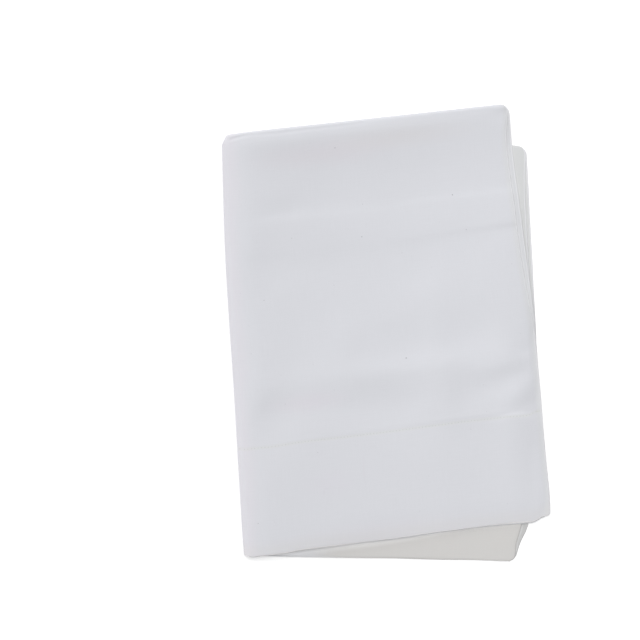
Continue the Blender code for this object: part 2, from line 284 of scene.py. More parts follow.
# Specks on the top layer in mm. Each row is a radius, a darkness, and the places, x and y.
FLECKS = (
    (0.75, 0.42, ((144.5, 157.0),)),
    (0.75, 0.4, ((191.1, 293.1),)),
    (0.7, 0.34, ((112.5, 261.3),)),
    (0.55, 0.3, ((12.8, 24.6),)),
    (0.5, 0.26, ((53.3, 263.0),)),
    (0.75, 0.26, ((93.8, 337.6),)),
    (0.6, 0.26, ((27.3, 211.7),)),
    (0.65, 0.24, ((201.1, 262.9),)),
    (0.45, 0.2, ((86.9, 221.6), (195.8, 94.3), (40.7, 123.4))),
    (0.42, 0.17, ((223.2, 29.9),)),
    (0.5, 0.2, ((145.7, 246.0), (238.1, 231.9))),
    (0.45, 0.18, ((82.5, 133.1), (14.1, 167.2))),
    (0.4, 0.17, ((65.8, 155.8),)),
    (0.6, 0.15, ((114.7, 288.9),)),
    (0.45, 0.16, ((208.6, 131.1), (170.2, 232.7), (209.8, 108.3), (149.1, 27.5))),
    (0.45, 0.14, ((179.0, 270.4), (26.6, 25.0))),
    (0.4, 0.15, ((7.5, 218.8),)),
    (0.4, 0.14, ((38.4, 148.0), (31.2, 220.1), (158.2, 56.8), (144.4, 317.6), (13.6, 190.6))),
    (0.38, 0.12, ((136.2, 196.9), (24.0, 344.2), (196.3, 60.7), (146.6, 75.0), (134.6, 119.4),
        (101.2, 268.9), (91.2, 302.5), (188.5, 134.3), (167.1, 205.4), (113.5, 165.2),
        (72.9, 342.5))),
    (0.4, 0.13, ((242.1, 172.8),)),
    (0.38, 0.11, ((149.1, 58.9),)),
    (0.5, 0.22, ((66.0, 81.4),)),
)

# Faint tints of the top layer: x, y and half the width and height in mm, and the colour it is
# multiplied by.
TINTS = (
    ("pink by the fold", 85, 334, 88, 17, (1.0, 0.976, 0.980)),
    ("straw by the fold", 150, 345, 85, 15, (1.0, 0.986, 0.974)),
    ("pink by the seam", 60, 124, 44, 13, (1.0, 0.978, 0.988)),
    ("pink on the hem", 74, 54, 30, 18, (1.0, 0.990, 0.997)),
    # painted light: the band above the hem's edge is lightened, as well as made pinker
    ("painted light, pinker, above the hem's edge", 120, 14, 130, 12, (1.019, 1.009, 1.009)),
    ("line on the hem", 104, 65, 1.0, 18, (0.985, 0.968, 0.975)),
    ("lint", 69.5, 47.5, 0.8, 3.4, (0.960, 0.950, 0.960)),
    ("lint", 71.5, 50.6, 2.2, 0.7, (0.965, 0.955, 0.965)),
)

# Bands of the cloth, from and to in mm. The tinted ones also have what the cotton is
# multiplied by.
BANDS = {
    "lower stack": (-40, -90), "closed end": (576, 656), "lower ends": (110, 35),
    "side edges": (249.4, 250.1), "hem edge": (0.5, -0.2), "end edge": (705.4, 706),
}
TINTED_BANDS = {
    # painted shade on the deep layer by the lower stack's opening
    "painted shade by the lower opening": (70, 35, (0.85, 0.84, 0.83)),
    # painted pink light from the left, which also lightens the band by the long fold a little
    "long fold": (19, 8, (1.022, 0.999, 1.004)),
    "side seam": (244, 249, (1.0, 1.0, 0.980)),
    "stitches": (2.1, 1, (0.994, 0.995, 0.976)),
    "top opening": (14, 2, (1.0, 0.990, 0.972)),
    # painted light: the thin edges where the layers fan out, painted brighter still
    "painted light on fanned edges": (190, 240, (1.06, 1.06, 1.06)),
}
LONG_FOLD_SHIFT = 8.0 * MM      # how far the pink by the long fold comes and goes
# Painted shade in the needle holes between the stitches.
HOLE_SHADE = (0.83, 0.84, 0.81)
FLECK_COLOUR = (0.09, 0.08, 0.10)
FLECK_CORE = 0.5                # the share of a fleck that is evenly dark
SLUB_SCALES = ((1900.0, 55.0, 1.0), (60.0, 1500.0, 1.0))    # of the threads up, and across
SLUB_SHADE = (0.6, 1.4, 0.986, 1.014)   # from and to in the slubs, and in the colour

# Painted light, as if it came through thin cloth at its edges. It lifts the hem's lip, and it is
# painted on the stack below the lip, over the lip's shadow: brightly up to a place in mm below the
# edge, and softly over a reach and with a strength that both shrink from one place across to
# another. It is also painted beyond side edges, over their shadows: the half that has the edge,
# the stack and the half it falls on, and its hem's height in mm.
LIT_CLOTH = (0.95, 0.95, 0.95)
LIT_LIP = (0.95, 0.93, 0.93)
LIP_LIGHT = (0.4, -0.1, 0.0, 0.6)       # from and to in mm, and how strong at each
HEM_LIGHT_START = 0.6
HEM_LIGHT_BRIGHT = (HEM_LIGHT_START, 1.9, 0.7, 0.0)
HEM_LIGHT_REACH = (90, 200, 7.0 * MM, 4.0 * MM)
HEM_LIGHT_STRENGTH = (90, 200, 0.55, 0.25)
SIDE_STRIP = ((-1.6, -0.6, 0.0, 1.0), (0.3, 1.6, 0.22, 0.0))    # how it starts and ends
LIT_SIDES = (("top hem", "top", "closed", 17.4), ("top end", "low", "closed", 17.4),
             ("low end", "low", "hem", -19.4))
HEM_SPAN = (-5.0 * MM, 20.0 * MM)       # what holds the whole hem's edge, and every side edge
SIDE_SPAN = (220.0 * MM, 270.0 * MM)

# The camera of the photograph, in plan coordinates.
CAMERA_TARGET = Vector((73.6 * MM, 193.2 * MM, 0.0))
CAMERA_AZIMUTH = math.radians(2.977)
CAMERA_ELEVATION = math.radians(87.0)

# What the small lengths, and the colours, that a user can change have in common.
LENGTH = {"precision": 5, "unit": "LENGTH"}
COLOUR = {"min": 0.0, "max": 1.0, "subtype": "COLOR"}


class PillowcaseCloth(bpy.types.PropertyGroup):
    """Sizes and colours of the cloth and its stitches, and of the painted shade and light on the
    cloth.
    """

    ply: FloatProperty(
        name="Ply", description="Thickness of one layer before the stack settles",
        default=0.5 * MM, min=0.1 * MM, max=0.9 * MM, **LENGTH)
    hem_ply: FloatProperty(
        name="Hem", description="Thickness of the turned hem, which is doubled",
        default=0.75 * MM, min=0.1 * MM, max=1.0 * MM, **LENGTH)
    lift: FloatProperty(
        name="Lift", description="How far the top stack stands off the lower one",
        default=0.6 * MM, min=0.0, max=5.0 * MM, **LENGTH)
    relief: FloatProperty(
        name="Relief", description="Depth of the soft folds, as a share of the real one",
        default=1.0, min=0.0, max=2.0)
    colour: FloatVectorProperty(
        name="Cotton", description="Colour of the cloth",
        default=(0.633, 0.640, 0.675), **COLOUR)
    # Painted shade: the lower stack, the same cotton, painted a little darker and greener where the
    # top stack shades it.
    shaded_lower_colour: FloatVectorProperty(
        name="Lower cotton", description="Colour of the lower stack, which is a little greener",
        default=(0.618, 0.626, 0.630), **COLOUR)
    # Painted shade and warm bounced light: the lower stack by its closed end, below the hem's edge,
    # painted darker and warmer.
    shaded_end_colour: FloatVectorProperty(
        name="Closed end", description="Colour of the lower stack by its warmer closed end",
        default=(0.588, 0.578, 0.567), **COLOUR)
    # Painted light: the layers' thin edges are painted paler, as if light came through them.
    lit_edge_colour: FloatVectorProperty(
        name="Edges", description="Colour of the layers' thin edges, which light comes through",
        default=(0.70, 0.705, 0.725), **COLOUR)
    thread_pitch: FloatProperty(
        name="Thread pitch", description="From one thread of the weave to the next",
        default=0.42 * MM, min=0.1 * MM, max=2.0 * MM, **LENGTH)
    stitch_pitch: FloatProperty(
        name="Stitch pitch", description="From one stitch of the hem to the next",
        default=2.7 * MM, min=1.0 * MM, max=6.0 * MM, **LENGTH)
    stitch_width: FloatProperty(
        name="Stitch width", description="Width of the hem's thread",
        default=0.9 * MM, min=0.1 * MM, max=1.5 * MM, **LENGTH)
    thread_colour: FloatVectorProperty(
        name="Thread", description="Colour of the hem's thread",
        default=(0.635, 0.645, 0.625), **COLOUR)


class PillowcaseStage(bpy.types.PropertyGroup):
    """The floor, the light and the camera."""

    floor_size: FloatProperty(
        name="Floor", description="Length of the floor's sides",
        default=8.0, min=1.0, max=50.0, unit="LENGTH")
    floor_colour: FloatVectorProperty(
        name="Floor colour", description="Colour of the floor",
        default=(0.98, 0.98, 0.98), **COLOUR)
    floor_glow: FloatProperty(
        name="Floor glow", description="Light that the floor gives off, as a lit sweep does",
        default=0.15, min=0.0, max=2.0)
    sky: FloatProperty(
        name="Room light", description="Strength of the soft light from all round",
        default=0.499, min=0.0, max=5.0)
    lean: FloatProperty(
        name="Lean", description="How much brighter the room is at the upper left than opposite",
        default=0.8, min=0.0, max=1.0)
    overhead: FloatProperty(
        name="Overhead", description="Power of the softbox overhead",
        default=9.8, min=0.0, max=500.0, unit="POWER")
    distance: FloatProperty(
        name="Camera distance", description="From the camera to the case",
        default=2.4, min=0.5, max=20.0, unit="LENGTH")
    lens: FloatProperty(
        name="Lens", description="Focal length on a 36 mm sensor",
        default=159.49, min=10.0, max=500.0, unit="CAMERA")


# ---- folding the flat bag

def smooth(t):
    """Ease from 0 to 1 as t does."""
    t = min(max(t, 0.0), 1.0)
    return t * t * (3.0 - 2.0 * t)


def read_table(table, column, at):
    """A smooth curve through one column of a table, read at a place in mm in its first column."""
    last = len(table) - 2
    index = 0
    while index < last and at > table[index + 1][0]:
        index += 1

    def slope(k):
        before = table[max(k - 1, 0)]
        after = table[min(k + 1, last + 1)]
        return (after[column] - before[column]) / (after[0] - before[0])

    start, end = table[index], table[index + 1]
    span = end[0] - start[0]
    t = share_of(at - start[0], span)
    bow = t * (1.0 - t) * span * ((1.0 - t) * slope(index) - t * slope(index + 1))
    return start[column] + (end[column] - start[column]) * smooth(t) + bow


def read_length(table, column, at):
    """A length from a table in mm, at another length."""
    return read_table(table, column, at / MM) * MM


def share_of(distance, reach):
    """A distance as a share of a reach, from 0 to 1."""
    return min(max(distance / reach, 0.0), 1.0)


def at_least(value, least):
    """A value that eases to a stop at its least."""
    ease = -LEAST_EASE * least
    if value > least + ease:
        return value
    return least + ease * math.exp((value - least - ease) / ease)


def half_bag(cloth):
    """From the middle of the bag to its outer face."""
    return LAYER_STEP / 2 + cloth.ply / 2


def bend(travel, radius, offset):
    """How far out, and how far off its centre line, a layer is on its way round a half turn."""
    angle = travel / radius
    return (radius + offset) * math.sin(angle), (radius + offset) * math.cos(angle)


def fold_across(along, offset):
    """The closed half goes under the hem half. Gives the height up the panel and in the stack."""
    past = along - PANEL
    turn = math.pi * CROSS_RADIUS
    if past < 0.0:
        return along, CROSS_RADIUS + offset
    if past < turn:
        reach, height = bend(past, CROSS_RADIUS, offset)
        return PANEL + reach, height
    return PANEL - (past - turn), -(CROSS_RADIUS + offset)


def round_corner(inset_x, inset_y, radius):
    """Insets from a square corner become insets from a round one."""
    u = 1.0 - inset_x / radius
    v = 1.0 - inset_y / radius
    if u <= 0.0 or v <= 0.0:
        return inset_x, inset_y
    u = min(u, 1.0)
    v = min(v, 1.0)
    round_u = u * math.sqrt(1.0 - v * v / 2.0)
    round_v = v * math.sqrt(1.0 - u * u / 2.0)
    return radius * (1.0 - round_u), radius * (1.0 - round_v)


class FoldedCase:
    """Lays places of the flat bag out in plan coordinates."""

    def __init__(self, cloth):
        self.lift = cloth.lift
        self.relief = cloth.relief * MM
        self.half_bag = half_bag(cloth)
        self.half_stack = CROSS_RADIUS + self.half_bag
        self.crease = LONG_RADIUS + self.half_stack
        rows = [(k - 1.5) * LAYER_STEP for k in range(4)]
        self.levels = [self.crease - LONG_RADIUS + row for row in rows]
        self.levels += [self.crease + LONG_RADIUS + row for row in rows]

    def fold_lengthwise(self, across, offset, reach):
        """The long fold, over to the left. Gives x in the plan, and the height."""
        side = math.copysign(1.0, across)
        distance = abs(across)
        if distance < LONG_ARC:
            height, inwards = bend(across, LONG_RADIUS, offset)
            return self.crease - inwards, self.crease + height
        share = (distance - LONG_ARC) / (HALF_WIDTH - LONG_ARC)
        out = self.crease + share * (reach - self.half_bag - self.crease)
        return out, self.crease + side * (LONG_RADIUS + offset)

    def hem_and_fold(self, stack, x):
        """Heights up the plan of a stack's hem edge and of its fold across."""
        hem = read_length(HEM_EDGE, HEM_COLUMNS.index(stack), x)
        return hem, FOLD_EDGE + FOLD_RISE[stack] * x

    def edge_distances(self, stack, x, y):
        """From a place in the plan to a stack's side edge, its hem and its fold across."""
        hem, fold = self.hem_and_fold(stack, x)
        up = PANEL * (y - hem) / (fold - hem)
        column = SIDE_COLUMNS.index("top end" if stack == "top" else "low hem")
        side = read_length(SIDE_EDGES, column, up)
        return side - x, y - hem, fold - y

    def folds_at(self, folds, along, aside):
        """Height of a set of soft folds, at a place along them and aside from them, in mm."""
        height = 0.0
        for rows in folds.values():
            start, end = rows[0][0], rows[-1][0]
            if not start < along < end:
                continue
            line, rise, above, below = (read_table(rows, k, along) for k in range(1, 5))
            away = aside - line
            away /= above if away > 0.0 else below
            if abs(away) < FOLD_TAIL:
                fade = smooth((along - start) / FADE) * smooth((end - along) / FADE)
                height += rise * fade * math.exp(-away * away)
        return height * self.relief

    def swells(self, stack, x, y):
        """How a stack swells by the long crease, by the fold across, and at its loose edges."""
        side, hem, fold = self.edge_distances(stack, x, y)
        bow = read_length(FOLD_BOW, 1, y)
        reached = share_of(x + bow - CREASE_START, CREASE_REACH + bow)
        past = max(x - CREASE_START - CREASE_REACH, 0.0) / CREASE_FALL
        crease = CREASE_RISE * (1.0 - (1.0 - reached) ** CREASE_BOW)
        crease = crease / (1.0 + (x / CREASE_FADE) ** 2) + CREASE_ROLL * reached / (1.0 + past ** 2)

        shoulder = 1.0 - share_of(fold, FOLD_CREST)
        past = max(fold - FOLD_CREST, 0.0) / FOLD_REACH
        roll = read_length(FOLD_ROLL, 1, x)
        roll *= (1.0 - FOLD_SHOULDER * shoulder ** 2) / (1.0 + past ** FOLD_DECAY)

        loose = -read_length(HEM_DROP, 1, x) * (1.0 - share_of(hem, HEM_REACH)) ** 2
        loose -= read_length(SIDE_DROP, 1, y) * (1.0 - share_of(side, SIDE_REACH)) ** 2
        loose -= LIP_DROP * (1.0 - share_of(side, LIP_REACH)) ** LIP_BEND
        ease = (1.0 - share_of(hem, HEM_EASE_REACH)) ** 2
        loose -= HEM_EASE * ease * smooth(x / CREASE_REACH)
        return crease, roll, loose

    def stand_off(self, x, y):
        """How far the top stack stands off the lower one."""
        folds = self.folds_at(SOFT_FOLDS, x / MM, y / MM)
        folds += self.folds_at(UPRIGHT_FOLDS, y / MM, x / MM)
        return self.lift + folds * smooth(x / FLAT_START)

    def top_layer(self, x, y):
        """The fine relief of the top layer."""
        height = self.folds_at(FINE_FOLDS, x / MM, y / MM)
        for mark_x, mark_y, rise, half_x, half_y in CORNER_MARKS:
            away = ((x / MM - mark_x) / half_x) ** 2 + ((y / MM - mark_y) / half_y) ** 2
            height += rise * math.exp(-away) * self.relief
        return height

    def loosen(self, x, y, height):
        """How much a height in the tight stack grows, as the gaps below it open."""
        growth = 0.0
        uneven = UNEVEN * smooth(x / FLAT_START)
        tighter = smooth((x - CREASE_REACH) / RIGHT_REACH)
        for index, (all_over, right, *shares, least) in enumerate(GAPS.values()):
            below, above = self.levels[index:index + 2]
            if height <= below:
                break
            if index in (0, BETWEEN_STACKS):
                swells = self.swells("top" if index else "low", x, y)
            width = (all_over + right * tighter) * MM
            at = Vector((x / UNEVEN_SIZE, y / UNEVEN_SIZE, GAP_SEED * index))
            width += uneven * noise.noise(at)
            width += sum(share * swell for share, swell in zip(shares, swells))
            if index == BETWEEN_STACKS:
                width += self.stand_off(x, y)
            if index == len(GAPS) - 1:
                width += self.top_layer(x, y)
            growth += at_least(width, least * MM) * min((height - below) / (above - below), 1.0)
        return growth

    def layout(self, across, along, offset):
        """Where a place of the flat bag lies in the tight stack, before the layers loosen."""
        up, stack_offset = fold_across(along, offset)
        stack = "top" if across > 0.0 else "low"
        name = stack + (" hem" if stack_offset > 0.0 else " end")
        reach = read_length(SIDE_EDGES, SIDE_COLUMNS.index(name), up)
        distance = abs(across)
        cap = max(distance - HALF_WIDTH, 0.0)
        x, z = self.fold_lengthwise(math.copysign(distance - cap, across), stack_offset, reach)

        # round the corners at the fold across and at the opening
        fold_end = PANEL + self.half_stack
        side_inset, fold_inset = round_corner(reach - x - cap, fold_end - up, FOLD_CORNER_RADIUS)
        up = fold_end - fold_inset
        side_inset, hem_inset = round_corner(side_inset, up, CORNER_RADIUS[name])
        if up < CORNER_RADIUS[name]:
            up = hem_inset
        if distance > LONG_ARC:
            x = reach - side_inset

        # the skewed panel
        out = x if distance > LONG_ARC else distance * self.crease / LONG_ARC
        hem, fold = self.hem_and_fold(stack, out)
        fold -= self.half_stack
        share = share_of(up, PANEL)
        y = hem + (fold - hem) * share + (up - share * PANEL)
        near_corner = smooth((up - fold_end + SHOULDER_DEPTH) / SHOULDER_DEPTH)
        x += SHOULDER * near_corner * smooth(1.0 - x / SHOULDER_REACH)
        x -= read_length(FOLD_BOW, 1, y) * smooth(1.0 - x / FOLD_BOW_REACH)
        return x, y, z

    def wander(self, x, y, height):
        """How far a layer strays in the plan from the ones above and below it, at the edges."""
        side, hem, _ = self.edge_distances("top" if height > self.crease else "low", x, y)
        level = WANDER_CHANGE * height / LAYER_STEP
        shift_x = SIDE_WANDER * (1.0 - smooth(side / WANDER_REACH))
        shift_y = HEM_WANDER * (1.0 - smooth(hem / WANDER_REACH)) * smooth(x / CREASE_REACH)
        return (shift_x * noise.noise(Vector((y / WANDER_SIZE, SIDE_SEED, level))),
                shift_y * noise.noise(Vector((x / WANDER_SIZE, HEM_SEED, level))))

    def place(self, across, along, offset):
        """Where a place of the flat bag lies once the case is folded and has settled."""
        x, y, height = self.layout(across, along, offset)
        shift_x, shift_y = self.wander(x, y, height)
        height += self.loosen(x, y, height)
        return Vector((x + shift_x, y + shift_y, height)) + PLAN_CORNER

    def flat_place(self, x, y):
        """The flat place of the top layer that lies at a place of the plan."""
        across, along = x, y
        for _ in range(FIND_STEPS):
            at = self.layout(across, along, self.half_bag)
            across += x - at[0]
            along += y - at[1]
        return across, along


# ---- the cloth

def steps(marks):
    """Places in mm from a list of (from, to, about how far apart), with both ends."""
    places = []
    for start, end, apart in marks:
        count = max(round((end - start) / apart), 1)
        places += [(start + (end - start) * k / count) * MM for k in range(count)]
    return places + [marks[-1][1] * MM]


TOP_COLUMNS = steps(((6.5, 24, 2.5), (24, 212, 4.6), (212, 242, 3.0), (242, 250, 1.15)))
LOW_COLUMNS = steps(((9, 200, 8.0), (200, 240, 5.0), (240, 250, 2.0)))
HEM_ROWS = steps(((0, 3, 0.75), (3, 12, 1.8), (12, 84, 4.5), (84, 94, 0.9), (94, 246, 2.3),
                  (246, 298, 1.5), (298, 336, 2.6), (336, 350.8, 0.85)))
END_MARKS = ((85, 165, 4.0), (165, 335, 8.0), (335, 350.8, 2.0))
END_ROWS = steps(((1, 5, 2.0), (5, 85, 9.0), *END_MARKS))
HEM_LINING_ROWS = steps(((0, 10, 3.0), (10, 80, 7.0), (80, 94, 2.0), (94, 166, 4.0),
                         (166, 336, 6.5), (336, 350.8, 1.6)))
END_LINING_ROWS = steps(((2, 85, 9.0), *END_MARKS))
LONG_BEND_STEPS = 14
CROSS_BEND_STEPS = 8
FIND_STEPS = 12                     # to find a flat place from its place in the plan
LAST_ROW = PANEL - 0.4 * MM         # rows end just before the fold across
END_ROUND = (0.5, 0.87, 1.0)        # a closed end, as fractions of the half thickness
HEM_STEP = 2.0 * MM                 # over which the doubled hem ends
STITCH_GROOVE = 0.05 * MM
STITCH_REACH = 2.2 * MM             # half the width of that groove
SAME_PLACE = 0.002 * MM             # vertices this close become one
STITCH_SINK = 0.2                   # as shares of its width: how deep a stitch sits,
STITCH_FLAT = 0.4                   # and its height
STITCH_SHARE = 0.36                 # half its length, as a share of the pitch
STITCH_MARGIN = 2.0 * MM            # from the last stitch to the side edge


def across_places():
    """The columns, from the low side edge through the long fold to the top one."""
    low = [-across for across in reversed(LOW_COLUMNS)]
    turn = [LONG_ARC * (2.0 * k / LONG_BEND_STEPS - 1.0) for k in range(LONG_BEND_STEPS + 1)]
    return low + turn + TOP_COLUMNS


def along_places(hem_rows, end_rows):
    """The rows along the bag: up the hem half, round the fold, and down the closed half."""
    turn = math.pi * CROSS_RADIUS
    fold = [PANEL + turn * k / CROSS_BEND_STEPS for k in range(CROSS_BEND_STEPS + 1)]
    hem_half = [row for row in hem_rows if row < LAST_ROW]
    end_half = [BAG_LENGTH - row for row in reversed(end_rows) if row < LAST_ROW]
    return hem_half + fold + end_half


def thickness(cloth, along):
    """The hem is doubled up to its row of stitches."""
    doubled = smooth((HEM_DEPTH + HEM_STEP / 2 - along) / HEM_STEP)
    return cloth.ply + (cloth.hem_ply - cloth.ply) * doubled


def stitch_groove(along):
    """How far the stitches draw the cloth in."""
    return STITCH_GROOVE * smooth(1.0 - abs(along - HEM_DEPTH) / STITCH_REACH)


def stations(cloth):
    """Each ring's place along the bag and its half thickness, from the inside out."""
    outer = half_bag(cloth)
    rings = []
    for row in reversed(along_places(HEM_LINING_ROWS, END_LINING_ROWS)):
        rings.append((row, outer - thickness(cloth, row) - stitch_groove(row)))
    inner_end = BAG_LENGTH - cloth.ply
    rings.insert(0, (inner_end, rings[0][1]))
    rings.insert(0, (inner_end + 0.5 * rings[0][1], 0.0))
    radius = cloth.hem_ply / 2
    for out, side in ROUND_EDGE[::-1]:
        rings.append((-out * radius, outer - radius + side * radius))
    for row in along_places(HEM_ROWS, END_ROWS):
        rings.append((row, outer - stitch_groove(row)))
    for share in END_ROUND:
        rings.append((BAG_LENGTH + share * outer, outer * math.sqrt(1.0 - share * share)))
    return rings


def ring_places(columns):
    """One ring round the bag: (across, share of the half thickness outwards, and across it)."""
    right, left = columns[-1], columns[0]
    ring = [(across, 0.0, 1.0) for across in columns]
    ring += [(right, out, side) for out, side in ROUND_EDGE]
    ring += [(across, 0.0, -1.0) for across in reversed(columns)]
    ring += [(left, -out, -side) for out, side in ROUND_EDGE]
    return ring + ring[:1]


def flat_bag(cloth):
    """The bag as one closed skin. Each vertex is at (across, along, offset from its middle)."""
    ring = ring_places(across_places())
    rows = stations(cloth)
    bm = bmesh.new()
    bmesh.ops.create_grid(bm, x_segments=len(ring) - 1, y_segments=len(rows) - 1, size=1.0)
    bm.verts.ensure_lookup_table()
    for index, vert in enumerate(bm.verts):
        across, out, side = ring[index % len(ring)]
        along, half = rows[index // len(ring)]
        vert.co = (across + out * half, along, side * half)
    bmesh.ops.remove_doubles(bm, verts=bm.verts, dist=SAME_PLACE)
    return bm


def keep_flat_map(bm):
    """Keep each place of the flat bag as a UV, for the weave and the marks."""
    layer = bm.loops.layers.uv.new(FLAT_MAP)
    for face in bm.faces:
        for loop in face.loops:
            loop[layer].uv = loop.vert.co.xy


def finish_mesh(bm, name, material):
    """Turn a bmesh into an object of one material, smooth and with its normals outwards."""
    bmesh.ops.recalc_face_normals(bm, faces=bm.faces)
    mesh = bpy.data.meshes.new(name)
    bm.to_mesh(mesh)
    bm.free()
    mesh.shade_smooth()
    mesh.materials.append(material)
    piece = bpy.data.objects.new(name, mesh)
    bpy.context.scene.collection.objects.link(piece)
    return piece


# ---- materials

class Nodes:
    """Adds nodes to a tree. An input is a value or another node's socket."""

    def __init__(self, tree):
        self.tree = tree

    def fill(self, node, inputs):
        """Set some of a node's inputs, by their names or numbers."""
        for key, value in dict(inputs).items():
            if isinstance(value, bpy.types.NodeSocket):
                self.tree.links.new(value, node.inputs[key])
            else:
                node.inputs[key].default_value = value

    def add(self, kind, inputs=(), **settings):
        """A shader node with some of its settings and inputs."""
        node = self.tree.nodes.new("ShaderNode" + kind)
        for name, value in settings.items():
            setattr(node, name, value)
        self.fill(node, inputs)
        return node

    def math(self, operation, *values):
        return self.add("Math", enumerate(values), operation=operation).outputs[0]

    def times(self, product, *others):
        for other in others:
            product = self.math("MULTIPLY", product, other)
        return product

    def vector(self, operation, *values):
        """A vector, or the number that a length or a dot product is."""
        node = self.add("VectorMath", enumerate(values), operation=operation)
        return node.outputs["Value" if operation in ("LENGTH", "DOT_PRODUCT") else "Vector"]

    def split(self, vector):
        return self.add("SeparateXYZ", {0: vector}).outputs

    def noise(self, place, scale, detail, roughness=0.5):
        inputs = {"Vector": place, "Scale": scale, "Detail": detail, "Roughness": roughness}
        return self.add("TexNoise", inputs).outputs[0]

    def between(self, value, low, high, to_low=0.0, to_high=1.0, kind="SMOOTHSTEP"):
        """A value's place between two limits."""
        inputs = enumerate((value, low, high, to_low, to_high))
        return self.add("MapRange", inputs, interpolation_type=kind).outputs["Result"]

    def fade(self, value, start, end, before=0.0, after=1.0):
        """Ease from one strength to another as a length passes two places in mm."""
        return self.between(value, start * MM, end * MM, before, after)

    def mix(self, share, first, second, blend="MIX"):
        """One colour laid over another."""
        first, second = (colour if isinstance(colour, bpy.types.NodeSocket) else (*colour, 1.0)
                         for colour in (first, second))
        inputs = {0: share, 6: first, 7: second}
        return self.add("Mix", inputs, data_type="RGBA", blend_type=blend).outputs[2]

    def tint(self, colour, share, by):
        """A colour, multiplied by another one where the share is 1."""
        return self.mix(share, colour, by, "MULTIPLY")

    def tint_band(self, colour, name, place, within=1.0):
        """A colour, tinted where a length is in one of the bands."""
        start, end, by = TINTED_BANDS[name]
        return self.tint(colour, self.times(self.fade(place, start, end), within), by)

    def shade(self, colour, value):
        """A colour, made lighter or darker."""
        grey = self.add("CombineColor", {0: value, 1: value, 2: value}).outputs[0]
        return self.tint(colour, 1.0, grey)


def new_group(name, inputs, outputs):
    """An empty shader node group, the sockets it starts from and its last node."""
    tree = bpy.data.node_groups.new(name, "ShaderNodeTree")
    for socket, default in inputs.items():
        kind = "NodeSocketVector" if isinstance(default, tuple) else "NodeSocketFloat"
        made = tree.interface.new_socket(socket, in_out="INPUT", socket_type=kind)
        made.default_value = default
    for socket in outputs:
        tree.interface.new_socket(socket, in_out="OUTPUT", socket_type="NodeSocketFloat")
    start, end = tree.nodes.new("NodeGroupInput"), tree.nodes.new("NodeGroupOutput")
    return Nodes(tree), start.outputs, end


def weave_group():
    """A plain weave: threads up and across that pass over and under each other."""
    nodes, start, end = new_group(
        "plain weave", {"Vector": (0, 0, 0), "Pitch": 0.4 * MM}, ("Height", "Slub"))
    x, y, _ = nodes.split(start["Vector"])
    turns = [nodes.times(nodes.math("DIVIDE", place, start["Pitch"]), math.pi) for place in (x, y)]
    waves = [nodes.math("SINE", turn) for turn in turns]
    over = nodes.times(*waves)
    ridges = [nodes.math("ABSOLUTE", wave) for wave in waves]
    up = nodes.math("MULTIPLY_ADD", over, 0.5, ridges[0])
    across = nodes.math("MULTIPLY_ADD", over, -0.5, ridges[1])

    slubs = []
    for scale in SLUB_SCALES:
        stretched = nodes.add("Mapping", {"Vector": start["Vector"], "Scale": scale})
        slubs.append(nodes.noise(stretched.outputs[0], 1.0, 1.0))
    height = nodes.math("MAXIMUM", up, across)
    nodes.fill(end, {"Height": height, "Slub": nodes.math("ADD", *slubs)})
    return nodes.tree


def spot_group():
    """A soft round or oval spot at a place of the flat cloth."""
    nodes, start, end = new_group("soft spot", {
        "Vector": (0, 0, 0), "Centre": (0, 0, 0), "Size": (MM, MM, 1), "Core": 0.0,
        "Strength": 1.0}, ("Mask",))
    away = nodes.vector("SUBTRACT", start["Vector"], start["Centre"])
    share = nodes.vector("LENGTH", nodes.vector("DIVIDE", away, start["Size"]))
    spot = nodes.between(share, 1.0, start["Core"])
    nodes.fill(end, {"Mask": nodes.times(spot, start["Strength"])})
    return nodes.tree


def needle_hole_group():
    """A row of small holes along the flat cloth, one from each stitch to the next."""
    nodes, start, end = new_group("needle holes", {
        "Vector": (0, 0, 0), "Pitch": 2.7 * MM, "Row": HEM_DEPTH, "Radius": 0.5 * MM}, ("Mask",))
    x, y, _ = nodes.split(start["Vector"])
    across = nodes.math("PINGPONG", x, nodes.times(start["Pitch"], 0.5))
    off_row = nodes.math("SUBTRACT", y, start["Row"])
    away = nodes.vector("LENGTH", nodes.add("CombineXYZ", {0: across, 1: off_row}).outputs[0])
    share = nodes.math("DIVIDE", away, start["Radius"])
    nodes.fill(end, {"Mask": nodes.between(share, 1.0, 0.3)})
    return nodes.tree


def edge_line(nodes, at, rows, column, low, high):
    """Where an edge lies, read from one column of a table at a place in its first column."""
    first, last = rows[0][0] * MM, rows[-1][0] * MM
    curve = nodes.add("FloatCurve")
    points = curve.mapping.curves[0].points
    shares = [((row[0] * MM - first) / (last - first), (row[column] * MM - low) / (high - low))
              for row in rows]
    points[0].location, points[-1].location = shares[0], shares[-1]
    for share in shares[1:-1]:
        points.new(*share)
    curve.mapping.update()
    nodes.fill(curve, {"Value": nodes.between(at, first, last, kind="LINEAR")})
    return nodes.between(curve.outputs[0], 0.0, 1.0, low, high, "LINEAR")


